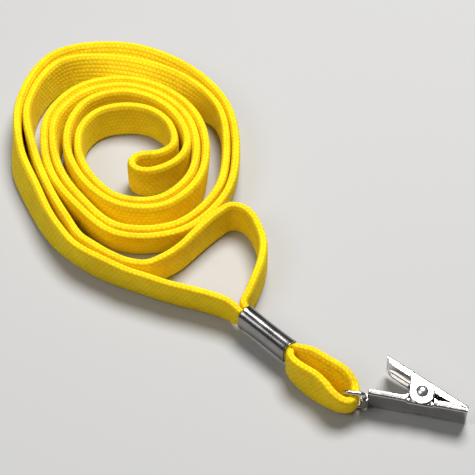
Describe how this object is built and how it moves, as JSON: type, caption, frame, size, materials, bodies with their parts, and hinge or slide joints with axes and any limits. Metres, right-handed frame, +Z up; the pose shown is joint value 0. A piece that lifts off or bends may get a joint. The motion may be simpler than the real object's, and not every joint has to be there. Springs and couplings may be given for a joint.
{
  "type": "lanyard badge holder",
  "caption": "Neck lanyard of flat braided cord wound in an upright coil, ending in a crimped end loop, a wire bail and a sprung bulldog clip that grips a badge or card.",
  "frame": {"origin": "On the surface that the object lies on, under the middle of the box round the ferrule, end loop, bail and clip, without the neck cord.", "axes": "+X runs to the right from the ferrule to the clip's nose, +Y away from the clip towards the wound neck cord, +Z up from the surface."},
  "size_m": [0.1067, 0.1118, 0.01],
  "materials": {
    "braid": "bright yellow flat knitted polyester braid",
    "ferrule_steel": "plated sheet steel, rolled and crimped, softly polished",
    "bail_wire": "nickel plated round wire",
    "nickel_plate": "bright nickel plated pressed sheet steel",
    "rivet_metal": "nickel plated domed rivet",
    "spring_steel": "plain spring wire"
  },
  "bodies": {
    "lanyard": {"neck_cord_coil": "braid", "neck_cord_tail_left": "braid", "neck_cord_tail_right": "braid", "crimped_braid": "braid", "crimp_ferrule": "ferrule_steel", "end_loop": "braid"},
    "bail": {"wire_bail": "bail_wire"},
    "clip": {"lower_jaw": "nickel_plate", "rivet_pin": "rivet_metal", "torsion_spring": "spring_steel"},
    "top_jaw": {"upper_jaw": "nickel_plate"}
  },
  "joints": [
    {"name": "bail_swing", "type": "hinge", "parent": "lanyard", "child": "bail", "pos_m": [-0.00209, -0.0085, 0.00459], "axis": [-0.0491, -0.2195, 0.9744], "range_deg": [-15, 12]},
    {"name": "clip_swing", "type": "hinge", "parent": "bail", "child": "clip", "pos_m": [0.0025, -0.00908, 0.00403], "axis": [-0.0491, -0.2195, 0.9744], "range_deg": [-60, 30]},
    {"name": "jaw_open", "type": "hinge", "parent": "clip", "child": "top_jaw", "pos_m": [0.01511, -0.00834, 0.00457], "axis": [-0.0491, -0.2195, 0.9744], "range_deg": [0, 28], "stiffness_Nm_per_rad": 0.03, "springref_deg": -34.38, "deforming": ["torsion_spring"]}
  ]
}
